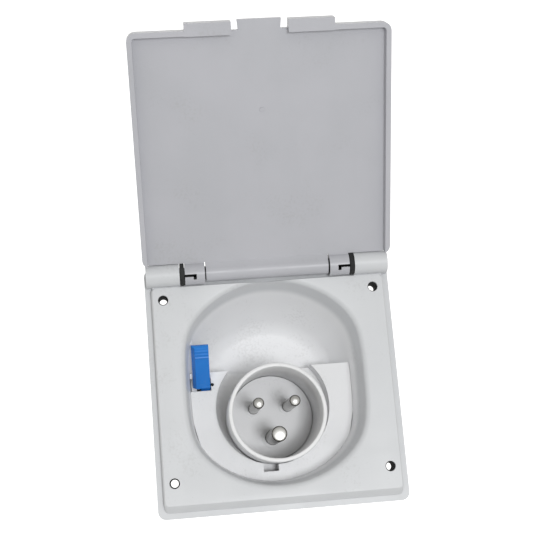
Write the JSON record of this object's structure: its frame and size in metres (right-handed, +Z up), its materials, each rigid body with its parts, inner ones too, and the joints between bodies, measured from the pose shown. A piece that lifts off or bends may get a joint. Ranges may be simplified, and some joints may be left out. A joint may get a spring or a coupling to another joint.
{
  "type": "generator inlet box",
  "caption": "Flush wall power inlet with a hinged lid, a deep recess, a shrouded three-pin inlet, a sprung blue release lever and a rear terminal cup with a cable gland.",
  "frame": {"origin": "centre of the four wall screw holes, on the wall plane (the rear face of the gasket)", "axes": "+Y into the wall, +Z up (towards the lid's hinge), +X to the right seen from the front"},
  "size_m": [0.111, 0.1548, 0.2032],
  "materials": {
    "frame_plastic": "fine satin moulding, light grey-white",
    "insert_plastic": "satin moulding, warm white",
    "lid_plastic": "satin moulding, light grey",
    "cover_plastic": "matt moulding, light grey",
    "gland_plastic": "black nylon",
    "lever_plastic": "satin blue moulding",
    "seal_rubber": "matt black rubber",
    "plated_contact": "nickel-plated brass, bright",
    "screw_steel": "zinc-plated steel"
  },
  "bodies": {
    "housing": {"front_frame": "frame_plastic", "wall_gasket": "seal_rubber", "inlet_body": "insert_plastic", "body_seal": "seal_rubber", "inlet_screw_1": "screw_steel", "inlet_screw_2": "screw_steel", "inlet_screw_3": "screw_steel", "inlet_screw_4": "screw_steel", "contact_carrier": "insert_plastic", "carrier_seal": "seal_rubber", "carrier_screw_1": "screw_steel", "carrier_screw_2": "screw_steel", "pin_line": "plated_contact", "pin_neutral": "plated_contact", "pin_earth": "plated_contact", "terminal_screw_line": "screw_steel", "terminal_screw_neutral": "screw_steel", "terminal_screw_earth": "screw_steel", "rear_cover": "cover_plastic", "rear_cover_seal": "seal_rubber", "rear_cover_screw_1": "screw_steel", "rear_cover_screw_2": "screw_steel", "rear_cover_screw_3": "screw_steel", "rear_cover_screw_4": "screw_steel", "gland_body": "gland_plastic", "gland_lock_nut": "gland_plastic", "gland_seal": "seal_rubber", "gland_nut": "gland_plastic", "hinge_pin_left": "screw_steel", "hinge_pin_right": "screw_steel", "lever_pivot_pin": "screw_steel", "lever_spring": "screw_steel"},
    "lid": {"lid": "lid_plastic"},
    "lever": {"release_lever": "lever_plastic"}
  },
  "joints": [
    {"name": "lid_hinge", "type": "hinge", "parent": "housing", "child": "lid", "pos_m": [0, -0.0105, 0.0514], "axis": [1, 0, 0], "range_deg": [0, 149]},
    {"name": "lever_pivot", "type": "hinge", "parent": "housing", "child": "lever", "pos_m": [-0.0306, 0.0225, 0.003], "axis": [-1, 0, 0], "range_deg": [0, 8], "stiffness_Nm_per_rad": 0.02, "springref_deg": -11.46, "deforming": ["lever_spring"]}
  ]
}
